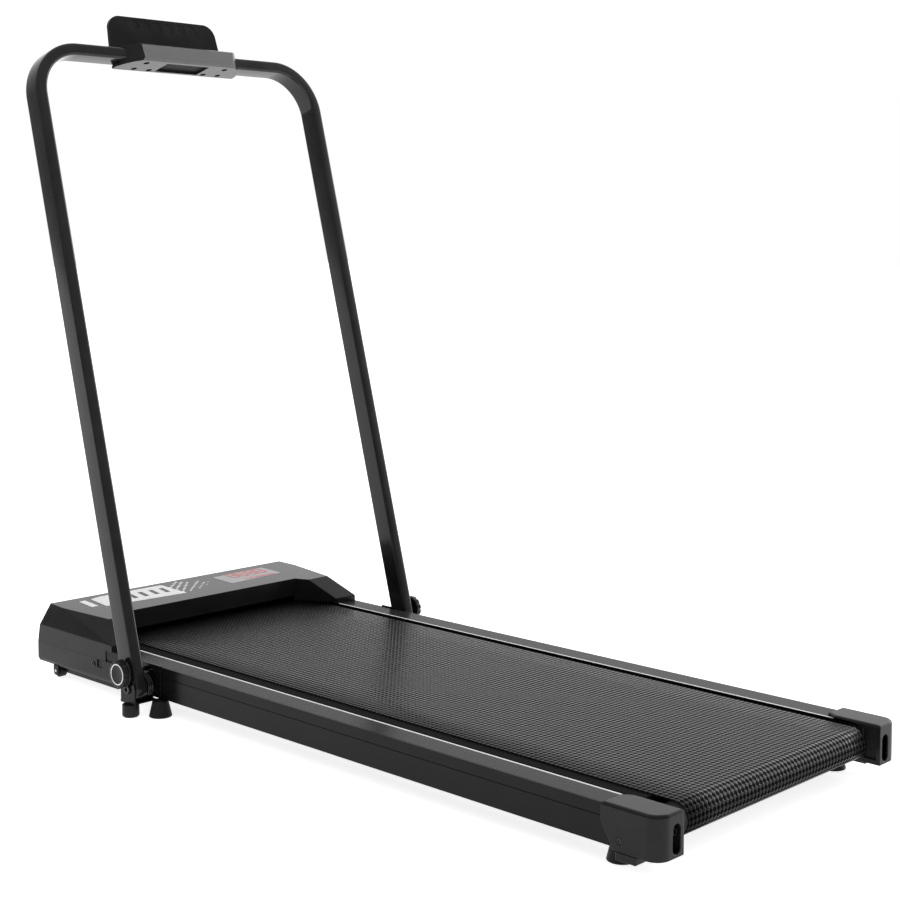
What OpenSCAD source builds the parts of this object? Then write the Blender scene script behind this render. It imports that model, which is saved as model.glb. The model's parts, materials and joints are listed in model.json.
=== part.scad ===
// Folding walking treadmill with a lean-back handle frame.
// +Y points to the motor end, +X to the right of a person walking toward it, +Z up.
// The origin is on the floor, under the middle of the overall length and width.

/* [Overall] */
// Length from the rear end caps to the front of the hood
overall_l = 1294; // [1150:1:1400]
// Width over the outer faces of the two side rails
frame_w = 520.8; // [480:0.2:600]
// Width of the running belt
belt_w = 400; // [360:1:440]
// Height of the walking surface above the floor
deck_z = 73.5; // [68:0.5:82]

/* [Side rails] */
// Width of one rail
rail_w = 39.8; // [36:0.2:50]
// Height of the rail's underside above the floor
rail_z = 24.7; // [22:0.1:28]
// Wall thickness of the rail
rail_wall = 2; // [1.5:0.1:3]
// Width of the light line inlaid along each rail
stripe_w = 3.4; // [1.5:0.1:4]
// Height of the fine groove along the rail's outer face
groove_z = 58; // [50:0.5:66]

/* [Belt and rollers] */
// Thickness of the running belt
belt_t = 2; // [1.4:0.1:3]
// Sideways offset of the belt toward the side of the drive pulleys
belt_shift = 6; // [0:0.5:7]
// Outer radius of the belt where it turns round a roller
belt_r = 22; // [20:0.5:24]
// Thickness of the wooden deck board
deck_t = 12; // [9:1:18]
// Distance from the rear end to the rear roller's axis
rear_roller_back = 33.7; // [24:0.1:36]
// Distance from the front end to the front roller's axis
front_roller_back = 102; // [95:1:120]
// Radius of both roller axles
axle_r = 7.5; // [6:0.5:8]
// Radius of the pulley on the front roller
roller_pulley_r = 28; // [24:1:29]
// Radius of the pulley on the motor
motor_pulley_r = 10; // [8:1:12]
// Radius of the motor casing
motor_r = 30; // [26:1:31]

/* [Hood and base pan] */
// Height of the hood's top at its front edge
hood_z = 119.2; // [112:0.2:126]
// Height of the seam between the hood and the base pan
seam_z = 55.7; // [50:0.1:60]
// Length of the hood, from its front face to the tips of its arms
hood_l = 213.2; // [190:0.2:240]
// Thickness of the plastic shells
shell_t = 3; // [2.4:0.1:3.4]
// Lowest point of the base pan above the floor
pan_z = 11.5; // [10:0.5:14]

/* [End caps and feet] */
// Length of an end cap
cap_l = 85.6; // [70:0.2:100]
// Height of an end cap's top above the floor
cap_z = 77.8; // [76:0.2:82]
// Distance that an end cap stands out beyond the rail
cap_proud = 6.9; // [5:0.1:9]
// Radius of a cap's outer rear corner, seen from above
cap_corner = 20; // [8:1:26]
// Width of the tension bolt's slot in the cap's rear face
slot_w = 15; // [12:0.5:17]
// Height of that slot
slot_h = 36; // [30:0.5:38]
// Largest radius of a cone foot
cone_foot_r = 17.6; // [15:0.2:19]
// Radius of a cylinder foot
post_foot_r = 13.2; // [12:0.2:14]
// Radius of a transport wheel
wheel_r = 11; // [10:0.5:11.5]

/* [Handle] */
// Distance between the centre planes of the two posts
post_span = 576.4; // [570:0.2:600]
// Forward lean of the handle when it is up
lean = 15; // [10:1:20]
// Length along a post from its pivot to the middle of the grip bar
handle_s = 1022.6; // [900:0.2:1040]
// Thickness of the tube, seen from the rear
tube_w = 20; // [18:0.5:22]
// Depth of the tube, seen from the side
tube_d = 38; // [30:0.5:38]
// Wall thickness of the tube
tube_t = 1.6; // [1.2:0.1:2]
// Corner radius of the tube's section
tube_corner = 5; // [3:0.5:8]
// Bend radius of the tube's centreline
bend_r = 80; // [70:1:110]
// Height of the pivot bolt above the floor
pivot_z = 42; // [41:0.1:44]
// Distance along the post from the pivot to the locking knob
lock_s = 24.85; // [24.6:0.05:26]
// Radius of the locking knob
knob_r = 21; // [18:0.5:22]

/* [Console] */
// Width of the tilted key panel
panel_w = 233; // [220:1:240]
// Height of the key panel's top above the grip bar's centre
panel_s = 82; // [76:1:86]
// Corner radius of the key panel
panel_r = 24; // [15:1:30]
// Width lost by the key panel from its base to its top
panel_taper = 8; // [0:1:14]
// Width of the console housing's front face
housing_w = 181; // [160:1:190]
// Diameter of a control key
key_d = 18; // [14:0.5:20]
// Distance between neighbouring keys
key_pitch = 24.2; // [22:0.1:26]
// Travel of a key
key_travel = 1; // [0.5:0.1:1.5]

/* [Hidden] */
$fn = 64;
half_l = overall_l / 2;
rail_x = frame_w / 2;
rail_in = rail_x - rail_w;
stripe_x = rail_in + 0.6;
roller_z = deck_z - belt_r;
rear_y = -half_l + rear_roller_back;
front_y = half_l - front_roller_back;
roller_r = belt_r - belt_t - 0.5;
loop_r = belt_r - belt_t;
belt_x0 = belt_shift - belt_w / 2;
belt_x1 = belt_shift + belt_w / 2;
pulley_x0 = belt_x1 + 3;
pulley_x1 = pulley_x0 + 10;
motor_y = half_l - 39;
motor_z = deck_z - 1.5;
belt_gap = 0.35;
drive_t = 2.5;

deck_w = 426;
deck_y0 = rear_y + belt_r + 10;
deck_y1 = front_y - belt_r - 10;
deck_top = deck_z - belt_t;
cross_ys = [-430, -110, 210, 470];
cross_w = 30;
cross_z0 = roller_z - loop_r + 4;
cross_z1 = deck_top - deck_t - 4;

rail_y0 = -half_l + 50;
rail_y1 = half_l - 47;

// Hood outline, in the frame of the whole machine
hood_x = 262;
arm_y = half_l - hood_l;
valley_y = half_l - 145.2;
hood_slope = 0.0284;
hood_band_z = 84;
arm_tip_z = 83;
top_front_y = half_l - 17;
function hood_top(y) = hood_z - (top_front_y - y) * hood_slope;

// Handle frame: s runs up along the posts from the pivot, n points forward across them
pivot_y = half_l - 313.8;
post_x = post_span / 2;
post_in = post_x - tube_w / 2;
post_out = post_x + tube_w / 2;
ear_x = post_out + 0.5;
plate_t = 3;
ear_r = 18.5;
ear_half = ear_r * cos(12);
fold = 100;
bolt_r = 4;
stud_r = 3;
bolt_head_x = ear_x + plate_t;
collar_x = bolt_head_x + 3.6;
knob_x = collar_x + 3;
knob_end_x = knob_x + 8.2;
knob_boss_r = 5.9;
web_z = 22.5;

// Console, measured from the centre of the grip bar
panel_n = 21;
panel_t = 6.3;
panel_low = 12;
key_s = 67;
key_cap_t = 2;
base_s = -17.5;
n_keys = 6;

black = [0.09, 0.09, 0.09];
soft_black = [0.14, 0.14, 0.14];
rubber = [0.05, 0.05, 0.05];
steel = [0.62, 0.62, 0.64];

// Helpers -------------------------------------------------------------------

// A shape and its mirror image on the other side of the machine
module both() {
  children();
  mirror([1, 0, 0]) children();
}

// Extrudes an (x, z) profile from y0 to y1
module along_y(y0, y1) translate([0, y1, 0]) rotate([90, 0, 0]) linear_extrude(y1 - y0) children();

// Extrudes a (y, z) profile from x0 to x1
module along_x(x0, x1) translate([x0, 0, 0]) rotate([90, 0, 90]) linear_extrude(x1 - x0) children();

// A rod or disc along X
module rod_x(x0, x1, y, z, r) translate([x0, y, z]) rotate([0, 90, 0]) cylinder(h = x1 - x0, r = r);

// A rod or disc along Y
module rod_y(y0, y1, x, z, r) translate([x, y1, z]) rotate([90, 0, 0]) cylinder(h = y1 - y0, r = r);

// A box between two corners
module box(lo, hi) translate(lo) cube(hi - lo);

// A rounded rectangle centred on the origin
module rounded(w, h, r) {
  square([w - 2 * r, h], center = true);
  square([w, h - 2 * r], center = true);
  for (sx = [-1, 1], sy = [-1, 1]) translate([sx * (w / 2 - r), sy * (h / 2 - r)]) circle(r);
}

// The convex solid through a list of points
module block(points) hull() for (p = points) translate(p) cube(0.01, center = true);

// The handle's own frame: X stays, Y becomes n and Z becomes s
module handle_frame() translate([0, pivot_y, pivot_z]) rotate([-lean, 0, 0]) children();

// The console's frame: the handle's frame, from the centre of the grip bar
module bar_frame() handle_frame() translate([0, 0, handle_s]) children();

// The outline round two pulleys, with straight runs that touch both circles
module loop_outline(y1, z1, r1, y2, z2, r2) {
  d = sqrt(pow(y2 - y1, 2) + pow(z2 - z1, 2));
  turn = atan2(z2 - z1, y2 - y1);
  side = acos((r1 - r2) / d);
  up = [cos(turn + side), sin(turn + side)];
  down = [cos(turn - side), sin(turn - side)];
  translate([y1, z1]) circle(r1);
  translate([y2, z2]) circle(r2);
  polygon([[y1, z1] + r1 * up, [y2, z2] + r2 * up, [y2, z2] + r2 * down, [y1, z1] + r1 * down]);
}

// Frame and deck ------------------------------------------------------------

module rail_profile() {
  difference() {
    translate([rail_in, rail_z]) square([rail_w, deck_z - rail_z]);
    translate([rail_in + rail_wall, rail_z + rail_wall])
      square([rail_w - 2 * rail_wall, deck_z - rail_z - 2 * rail_wall]);
    translate([rail_x - 1, groove_z - 0.8]) square([2, 1.6]);
    translate([stripe_x, deck_z - 0.8]) square([stripe_w, 2]);
  }
}

module side_rails() color(soft_black) both() difference() {
  along_y(rail_y0, rail_y1) rail_profile();
  rod_x(rail_in - 1, rail_in + 5, front_y, roller_z, axle_r);
  rod_x(rail_x - 6, rail_x + 1, screw_y, screw_z, 1.75);
  rod_x(rail_x - 6, rail_x + 1, cap_screw_y, cap_screw_z, 2.1);
}

module rail_stripes() color("white") both()
  box([stripe_x, rail_y0, deck_z - 0.8], [stripe_x + stripe_w, rail_y1, deck_z + 0.2]);

module crossmembers() color(black) for (y = cross_ys) difference() {
  box([-rail_in, y - cross_w / 2, cross_z0], [rail_in, y + cross_w / 2, cross_z1]);
  box([-rail_in - 1, y - cross_w / 2 + 2, cross_z0 + 2], [rail_in + 1, y + cross_w / 2 - 2, cross_z1 - 2]);
}

module deck_board() color([0.1, 0.09, 0.08])
  box([-deck_w / 2, deck_y0, deck_top - deck_t], [deck_w / 2, deck_y1, deck_top - 0.2]);

module deck_cushions() color(rubber) for (y = cross_ys, x = [-190, -95, 95, 190])
  translate([x, y, cross_z1]) cylinder(h = deck_top - deck_t - cross_z1, r = 11);

module running_belt() color(rubber) along_x(belt_x0, belt_x1) difference() {
  loop_outline(rear_y, roller_z, belt_r, front_y, roller_z, belt_r);
  loop_outline(rear_y, roller_z, loop_r, front_y, roller_z, loop_r);
}

// Rollers and drive ---------------------------------------------------------

bearing_r = 16;
bearing_w = 12;

module roller(y, x1) difference() {
  rod_x(belt_x0, x1, y, roller_z, roller_r);
  rod_x(belt_x0 - 1, x1 + 1, y, roller_z, bearing_r);
}

module bearings(y, x1) for (x = [belt_x0, x1 - bearing_w]) difference() {
  rod_x(x, x + bearing_w, y, roller_z, bearing_r);
  rod_x(x - 1, x + bearing_w + 1, y, roller_z, axle_r + 0.05);
}

module front_roller() color(steel) roller(front_y, pulley_x0);

module front_bearings() color("silver") bearings(front_y, pulley_x0);

module front_axle() color(steel) rod_x(-rail_in - 4, rail_in + 4, front_y, roller_z, axle_r);

module rear_roller() color(steel) roller(rear_y, belt_x1);

module rear_bearings() color("silver") bearings(rear_y, belt_x1);

module rear_axle() color(steel) difference() {
  rod_x(-232, 232, rear_y, roller_z, axle_r);
  both() rod_y(rear_y - 20, rear_y + 20, bolt_x, roller_z, 3.2);
}

module pulley(y, z, r, bore) difference() {
  rod_x(pulley_x0, pulley_x1, y, z, r);
  rod_x(pulley_x0 - 1, pulley_x1 + 1, y, z, bore);
  for (x = [pulley_x0 + 2.5:3.5:pulley_x1 - 1]) difference() {
    rod_x(x - 0.6, x + 0.6, y, z, r + 1);
    rod_x(x - 1, x + 1, y, z, r - 1.2);
  }
}

module roller_pulley() color([0.25, 0.25, 0.27]) pulley(front_y, roller_z, roller_pulley_r, axle_r + 1);

module motor_pulley() color([0.45, 0.45, 0.47]) pulley(motor_y, motor_z, motor_pulley_r, 6);

module drive_belt() color(rubber) along_x(pulley_x0 + 1, pulley_x1 - 1) difference() {
  loop_outline(front_y, roller_z, roller_pulley_r + belt_gap + drive_t,
               motor_y, motor_z, motor_pulley_r + belt_gap + drive_t);
  loop_outline(front_y, roller_z, roller_pulley_r + belt_gap, motor_y, motor_z, motor_pulley_r + belt_gap);
}

motor_x0 = 10;
motor_x1 = 180;
shaft_r = 6;

module motor_casing() color([0.2, 0.2, 0.22]) difference() {
  rod_x(motor_x0, motor_x1, motor_y, motor_z, motor_r);
  rod_x(motor_x0 - 1, motor_x1 + 1, motor_y, motor_z, shaft_r + 0.05);
  rod_x(motor_x0 + 10, motor_x1 - 10, motor_y, motor_z, motor_r - 4);
}

module motor_rotor() color(steel) {
  rod_x(motor_x0 - 22, pulley_x1, motor_y, motor_z, shaft_r);
  rod_x(motor_x0 - 20, motor_x0 - 6, motor_y, motor_z, motor_r - 4);
  rod_x(motor_x0 + 20, motor_x1 - 20, motor_y, motor_z, motor_r - 8);
}

module motor_bracket() color([0.3, 0.3, 0.3]) difference() {
  box([motor_x0 + 10, motor_y - 24, pan_front_z + shell_t], [motor_x1 - 10, motor_y + 24, motor_z - 18]);
  rod_x(motor_x0, motor_x1, motor_y, motor_z, motor_r);
}

board_x0 = -216;
board_x1 = -55;
board_z = 42;
board_y1 = half_l - 30;

module control_board() color([0.05, 0.3, 0.12]) {
  box([board_x0, motor_y - 30, board_z], [board_x1, board_y1, board_z + 1.6]);
  for (x = [board_x0 + 8, board_x1 - 14], y = [motor_y - 26, board_y1 - 8])
    box([x, y, pan_front_z + shell_t], [x + 6, y + 6, board_z]);
  for (x = [board_x0 + 114, board_x0 + 137]) translate([x, motor_y - 8, board_z]) cylinder(h = 36, r = 10);
  box([board_x0 + 148, motor_y - 24, board_z], [board_x1, board_y1 - 4, board_z + 18]);
}

module heatsink() color("silver") {
  box([board_x0 + 6, motor_y - 24, board_z + 1.6], [board_x0 + 100, board_y1 - 4, board_z + 6]);
  for (x = [board_x0 + 6:13:board_x0 + 97])
    box([x, motor_y - 24, board_z + 6], [x + 2.4, board_y1 - 4, board_z + 34]);
}

// Hood and base pan ---------------------------------------------------------

function hood_points(t, z0) = [for (s = [-1, 1]) each [
  [s * (hood_x - t), half_l - t, z0],
  [s * (hood_x - t), arm_y + t, z0],
  [s * (hood_x - 1.5 - t), half_l - 3.4 - t, hood_band_z],
  [s * (hood_x - 1 - t), arm_y + t, arm_tip_z - t],
  [s * (hood_x - 14 - t), top_front_y - t, hood_top(top_front_y) - t],
  [s * (hood_x - 12 - t), half_l - 58.2, hood_top(half_l - 58.2) - t],
  [s * (hood_x - 27 - t), half_l - 168, hood_top(half_l - 168) - t]
]];

// Plan of the valley between the hood's arms, where the belt comes out
module valley(grow, z0) translate([0, 0, z0]) linear_extrude(200) polygon([
  [-176.5 - grow * 1.4, valley_y + grow], [176.5 + grow * 1.4, valley_y + grow],
  [217 + grow * 0.9, arm_y - 3], [217, arm_y - 60], [-217, arm_y - 60], [-217 - grow * 0.9, arm_y - 3]
]);

valley_gap_z = 84;

module hood() color(soft_black) difference() {
  block(hood_points(0, seam_z + 0.2));
  valley(0, 0);
  difference() {
    block(hood_points(shell_t, seam_z - 10));
    valley(shell_t, 0);
  }
  box([-rail_x - 0.2, arm_y - 5, 0], [rail_x + 0.2, half_l - shell_t - 4, deck_z + 0.3]);
  box([-176, arm_y - 5, 0], [176, valley_y + 8, valley_gap_z]);
  box([-220, arm_y - 5, 0], [220, valley_y + 8, deck_z + 2.5]);
  for (s = [-1, 1]) translate([s * rail_x, 0, 0])
    box([-8, arm_y - 1, seam_z - 1], [8, arm_y + 16.5, deck_z - 0.2]);
  display_place(-1) translate([0, 0, -8]) linear_extrude(20) window_outline(0.15);
}

// The window's own frame lies in the hood's sloping top
module display_place(z) translate([0, top_front_y, hood_z])
  rotate([atan(hood_slope), 0, 0]) translate([0, 0, z]) children();

module window_outline(grow) translate([129, -51.5]) polygon([
  [-60.5 - grow, -34 - grow], [60.5 + grow, -25 - grow], [59.5 + grow, 31 + grow], [-60.5 - grow, 25 + grow]
]);

module display_window() color([0.5, 0.5, 0.52]) display_place(-2.4) linear_extrude(2.6) window_outline(0);

module display_board() color([0.05, 0.25, 0.12]) display_place(-13) {
  translate([129, -54, 0]) {
    translate([-52, -24, 0]) cube([104, 44, 1.6]);
    for (i = [0:3]) translate([-40 + i * 21, -15, 1.6]) cube([18, 26, 6]);
  }
}

pan_front_z = 25.5;
screw_y = half_l - 163;
screw_z = 46.3;
pan_rear_y = half_l - 238;
tray_y1 = half_l - 58;
tray_x = hood_x - 12;
chamfer = 3;

module pan_solid(t) {
  along_y(pan_rear_y + (t > 0 ? -1 : 0), half_l - t) polygon([
    [-hood_x + t, seam_z + t], [hood_x - t, seam_z + t], [hood_x - t, pan_front_z + chamfer + t * 0.5],
    [hood_x - chamfer - t * 0.7, pan_front_z - 3 + t], [-hood_x + chamfer + t * 0.7, pan_front_z - 3 + t],
    [-hood_x + t, pan_front_z + chamfer + t * 0.5]
  ]);
}

plate_x0 = -196;
plate_x1 = -62;

// Room for a transport wheel and its bracket under the pan
module wheel_well(grow) both()
  box([wheel_x - 11.5 - grow, wheel_y - 13 - grow, 0], [wheel_x + 12, tray_y1 + 10, pan_front_z - 3 + grow]);

module base_pan() color(soft_black) difference() {
  union() {
    difference() {
      pan_solid(0);
      difference() {
        pan_solid(shell_t);
        box([-250, tray_y1, 0], [250, half_l - 1, pan_front_z + shell_t]);
      }
      box([-rail_x - 0.2, pan_rear_y - 1, rail_z - 0.2], [rail_x + 0.2, rail_y1 + 1, seam_z + 5]);
      box([-tray_x + 0.1, pan_rear_y - 1, 0], [tray_x - 0.1, arm_y, seam_z + 1]);
      box([-tray_x + shell_t, pan_rear_y - 1, 0], [tray_x - shell_t, tray_y1, rail_z + 10]);
    }
    difference() {
      box([-tray_x, arm_y, pan_z], [tray_x, tray_y1 + shell_t, rail_z - 0.3]);
      difference() {
        box([-tray_x + shell_t, arm_y + shell_t, pan_z + 2], [tray_x - shell_t, tray_y1, rail_z + 1]);
        wheel_well(shell_t);
      }
      wheel_well(0);
    }
  }
  both() {
    rod_x(250, hood_x - 1, screw_y, screw_z, 1.75);
    rod_x(hood_x - 1, hood_x + 5, screw_y, screw_z, 4.7);
    box([250, half_l - 186.7, 43], [hood_x + 5, half_l - 173.2, seam_z + 1]);
    rod_x(wheel_x - wheel_w / 2 - 1, wheel_x + wheel_w / 2 + 1, wheel_y, wheel_z, wheel_r + 1);
  }
  box([plate_x0 + 4, half_l - 10, pan_front_z + 5], [plate_x1 - 4, half_l + 1, seam_z - 3]);
}

module pan_screws() color(steel) both() {
  rod_x(rail_x - 5, hood_x - 1, screw_y, screw_z, 1.7);
  rod_x(hood_x - 1, hood_x + 1.4, screw_y, screw_z, 4.6);
}

inlet_x = -155;
rocker_x = -112;
reset_x = -80;
rocker_pin_r = 1.4;
plate_z = (pan_front_z + 5 + seam_z - 3) / 2;
plate_y = half_l - shell_t;

module power_inlet() color(black) difference() {
  union() {
    box([plate_x0, plate_y - 2.2, pan_front_z + shell_t + 0.3], [plate_x1, plate_y - 0.2, seam_z - 0.5]);
    box([inlet_x - 15, plate_y - 20, plate_z - 10], [inlet_x + 15, plate_y - 2, plate_z + 10]);
    box([rocker_x - 12.5, plate_y - 14, plate_z - 8.5], [rocker_x + 12.5, plate_y - 2, plate_z + 8.5]);
    rod_y(plate_y - 14, plate_y - 2, reset_x, plate_z, 8);
  }
  box([inlet_x - 12, plate_y - 17, plate_z - 8], [inlet_x + 12, plate_y + 1, plate_z + 8]);
  box([rocker_x - 10.7, plate_y - 12, plate_z - 6.5], [rocker_x + 10.7, plate_y + 1, plate_z + 6.5]);
  rod_y(plate_y - 12, plate_y + 1, reset_x, plate_z, 5);
  translate([rocker_x, rocker_y, plate_z - 9]) cylinder(h = 18, r = rocker_pin_r + 0.05);
}

rocker_y = plate_y - 5;
rocker_rest = 8;

module power_rocker() color([0.5, 0.1, 0.08]) translate([rocker_x, rocker_y, plate_z]) {
  rotate([0, 0, rocker_rest]) translate([0, 0, -6.2]) linear_extrude(12.4)
    polygon([[-9.4, 1], [-9.4, 3.4], [0, 4.4], [9.4, 3.4], [9.4, 1], [3, -4], [-3, -4]]);
  translate([0, 0, -8.3]) cylinder(h = 16.6, r = rocker_pin_r);
}

module reset_button() color([0.55, 0.1, 0.08]) rod_y(plate_y - 10, plate_y + 1.5, reset_x, plate_z, 4.7);

// End caps, feet and wheels -------------------------------------------------

cap_y1 = -half_l + cap_l;
cap_x1 = rail_x + cap_proud;
cap_x0 = 220.4;
cap_bottom = 23;
cap_t = 3;
bolt_x = 229.5;
slot_x = 234;
slot_z = 45.5;
rear_foot_y = -half_l + 79.7;

// Plan of a cap, rounded at its outer rear corner
module cap_plan(t, y1) {
  r = cap_corner - t;
  difference() {
    polygon([
      [cap_x0 + t, -half_l + t], [cap_x1 - t, -half_l + t], [cap_x1 - t, y1],
      [cap_x0 + 9 - t, y1], [cap_x0 + t, y1 - 15]
    ]);
    translate([cap_x1 - t - r, -half_l + t]) square([r, r]);
  }
  intersection() {
    translate([cap_x1 - t - r, -half_l + t + r]) circle(r);
    translate([cap_x1 - t - r, -half_l + t]) square([r, r]);
  }
}

module end_caps() color(soft_black) both() difference() {
  union() {
    translate([0, 0, cap_bottom]) linear_extrude(cap_z - cap_bottom) cap_plan(0, cap_y1);
    translate([0, -half_l + 34, 13]) box([cap_x0 + 22, 0, 0], [cap_x1 - 0.5, 32.6, 11]);
  }
  translate([0, 0, cap_bottom + 2]) linear_extrude(cap_z - cap_bottom - 5) difference() {
    cap_plan(cap_t, cap_y1 + 5);
    translate([200, -half_l + 56]) square([cap_t + 20.5, 60]);
  }
  // room for the rail
  box([rail_in - 0.2, rail_y0 - 0.3, rail_z - 0.2], [rail_x + 0.2, cap_y1 + 5, deck_z + 0.3]);
  // slanted front edge below the top, and an open underside round the foot
  along_x(200, 280) polygon([
    [cap_y1 + 1, cap_z - 21], [cap_y1 - 18, rail_z - 0.3],
    [cap_y1 - 22, 20], [cap_y1 - 22, 0], [cap_y1 + 1, 0]
  ]);
  translate([slot_x, -half_l + cap_t + 1, slot_z]) rotate([90, 0, 0]) linear_extrude(20)
    rounded(slot_w, slot_h, slot_w / 2 - 0.01);
  // open inner wall behind the axle
  box([cap_x0 - 1, -half_l + 6, 30], [cap_x0 + cap_t + 0.5, -half_l + 25, 70]);
  rod_x(200, 232.5, rear_y, roller_z, axle_r + 0.3);
  rod_x(rail_x - 10, cap_x1 + 1, cap_screw_y, cap_screw_z, 2.1);
  rod_x(cap_x1 - 1.5, cap_x1 + 1, cap_screw_y, cap_screw_z, 4.2);
}

cap_screw_y = -half_l + 57.7;
cap_screw_z = 37;

module end_cap_screws() color(steel) both() {
  rod_x(rail_x - 8, cap_x1 - 1.5, cap_screw_y, cap_screw_z, 2);
  rod_x(cap_x1 - 1.5, cap_x1 - 0.2, cap_screw_y, cap_screw_z, 4);
}

module tension_bolts() color(steel) both() {
  rod_y(-half_l + 12, rail_y0 + 12, bolt_x, roller_z, 3);
  rod_y(-half_l + 6, -half_l + 12, bolt_x, roller_z, 5.5);
}

module rear_feet() color(rubber) both()
  translate([234, rear_foot_y, 0]) cylinder(h = rail_z, r1 = cone_foot_r + 0.6, r2 = 12.7);

module cone_feet() color(rubber) both() intersection() {
  translate([rail_x + 5.6, pivot_y - 34.5, 0]) cylinder(h = rail_z, r1 = cone_foot_r, r2 = 12.3);
  translate([rail_x + 5.6, pivot_y - 34.5, 0]) cylinder(h = 60, r = cone_foot_r);
}

module cylinder_feet() color(rubber) both() {
  translate([post_foot_x, post_foot_y, 0]) cylinder(h = web_z - plate_t, r = post_foot_r);
  translate([post_foot_x - 7, post_foot_y, 1]) cylinder(h = web_z - 1, r = 2.9);
}

post_foot_x = 298;
post_foot_y = pivot_y - 2.5;
wheel_y = half_l - 49.3;
wheel_x = 250;
wheel_z = 13;
wheel_w = 12;
wheel_axle_r = 2.5;

module wheel(s) translate([s * wheel_x, 0, 0]) difference() {
  rod_x(-wheel_w / 2, wheel_w / 2, wheel_y, wheel_z, wheel_r);
  rod_x(-wheel_w, wheel_w, wheel_y, wheel_z, wheel_axle_r + 0.05);
}

module left_wheel() color(rubber) wheel(-1);

module right_wheel() color(rubber) wheel(1);

module wheel_axles() color(steel) both()
  rod_x(wheel_x - 10.5, wheel_x + 10.5, wheel_y, wheel_z, wheel_axle_r);

module wheel_brackets() color(black) both() for (x = [wheel_x - 10, wheel_x + 7]) difference() {
  union() {
    rod_x(x, x + 3, wheel_y, wheel_z, 7);
    box([x, wheel_y - 7, wheel_z], [x + 3, wheel_y + 7, bracket_top]);
  }
  rod_x(x - 1, x + 4, wheel_y, wheel_z, wheel_axle_r);
}

bracket_top = pan_front_z - 3;

// Hinges --------------------------------------------------------------------

flange_x = rail_x + plate_t;
flange_y0 = pivot_y - 32;
flange_y1 = pivot_y + 30;

// The slot that the locking screw sweeps as the handle folds
module arc_slot() translate([0, pivot_y, pivot_z]) rotate([90, 0, 90]) linear_extrude(10) difference() {
  circle(lock_s + stud_r + 0.35);
  circle(lock_s - stud_r - 0.35);
  polygon([[0, 0], 80 * [cos(90 - lean), sin(90 - lean)], [80, -80], [-80, -80],
           80 * [cos(90 - lean + fold), sin(90 - lean + fold)]]);
}

module slot_end(angle) translate([0, pivot_y, pivot_z]) rotate([angle - lean, 0, 0])
  rod_x(0, 10, 0, lock_s, stud_r + 0.6);

module hinge_brackets() color(black) both() difference() {
  union() {
    along_x(rail_x, flange_x) difference() {
      translate([flange_y0, web_z - plate_t]) square([flange_y1 - flange_y0, deck_z + 2 - web_z + plate_t]);
      translate([flange_y0 - 1, web_z - plate_t - 1]) square([24, 7]);
    }
    box([rail_x, pivot_y - 15, web_z - plate_t], [bolt_head_x, pivot_y + 19, web_z]);
    along_x(ear_x, bolt_head_x) {
      translate([pivot_y, pivot_z]) circle(ear_r);
      translate([pivot_y - ear_half, web_z - plate_t]) square([2 * ear_half, pivot_z - web_z + plate_t + 3]);
    }
  }
  rod_x(rail_x - 1, bolt_head_x + 1, pivot_y, pivot_z, bolt_r);
  translate([rail_x - 1, 0, 0]) {
    arc_slot();
    slot_end(0);
    slot_end(fold);
  }
  translate([post_foot_x - 7, post_foot_y, 0]) cylinder(h = 40, r = 3);
}

module pivot_bolts() color(steel) both() {
  rod_x(rail_x, bolt_head_x, pivot_y, pivot_z, bolt_r);
  rod_x(bolt_head_x, bolt_head_x + 2.8, pivot_y, pivot_z, 7.5);
  rod_x(flange_x, post_in - 0.4, pivot_y, pivot_z, 9);
}

spring_r = 17;
wire_r = 1.8;
spring_turns = 3;
spring_x0 = flange_x + wire_r + 0.3;
spring_x1 = post_in - wire_r - 0.5;
spring_steps = 14;
spring_n = spring_turns * spring_steps;
spring_path = concat(
  [[spring_x0, spring_r + 1, 15]],
  [for (i = [0:spring_n]) let (a = -i * 360 / spring_steps)
    [spring_x0 + (spring_x1 - spring_x0) * i / spring_n, spring_r * cos(a), spring_r * sin(a)]],
  [[spring_x1, spring_r + 1, -14]]
);

// A round wire swept along a list of points
module wire(path, r, sides) {
  last = len(path) - 1;
  function way(i) = path[min(i + 1, last)] - path[max(i - 1, 0)];
  function ring(i) =
    let (t = way(i) / norm(way(i)), u0 = cross(t, [1, 0.02, 0.03]), u = u0 / norm(u0), v = cross(t, u))
    [for (k = [0:sides - 1]) path[i] + r * (cos(360 * k / sides) * u + sin(360 * k / sides) * v)];
  polyhedron(
    points = [for (i = [0:last]) each ring(i)],
    faces = concat(
      [[for (k = [0:sides - 1]) k]],
      [for (i = [0:last - 1], k = [0:sides - 1])
        [i * sides + k, (i + 1) * sides + k, (i + 1) * sides + (k + 1) % sides, i * sides + (k + 1) % sides]],
      [[for (k = [sides - 1:-1:0]) last * sides + k]]
    ),
    convexity = 10);
}

module hinge_springs() color(black) both() translate([0, pivot_y, pivot_z]) wire(spring_path, wire_r, 8);

// Handle --------------------------------------------------------------------

module tube_section(t) rounded(tube_w - 2 * t, tube_d - 2 * t, tube_corner - t);

module tube_run(t, end_s) {
  bend_s = handle_s - bend_r;
  both() {
    translate([post_x, 0, end_s]) linear_extrude(bend_s - end_s) tube_section(t);
    translate([post_x - bend_r, 0, bend_s]) rotate([90, 0, 0])
      rotate_extrude(angle = 90) translate([bend_r, 0]) tube_section(t);
  }
  translate([-post_x + bend_r, 0, handle_s]) rotate([0, 90, 0])
    linear_extrude(2 * (post_x - bend_r)) tube_section(t);
}

module handle_tube() color(black) handle_frame() difference() {
  union() {
    tube_run(0, 0);
    both() rod_x(post_in, post_out, 0, 0, tube_d / 2);
  }
  tube_run(tube_t, 40);
  both() {
    rod_x(post_in - 1, post_out + 1, 0, 0, 7);
    rod_x(post_in - 1, post_out + 1, 0, lock_s, stud_r + 0.1);
  }
}

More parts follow.
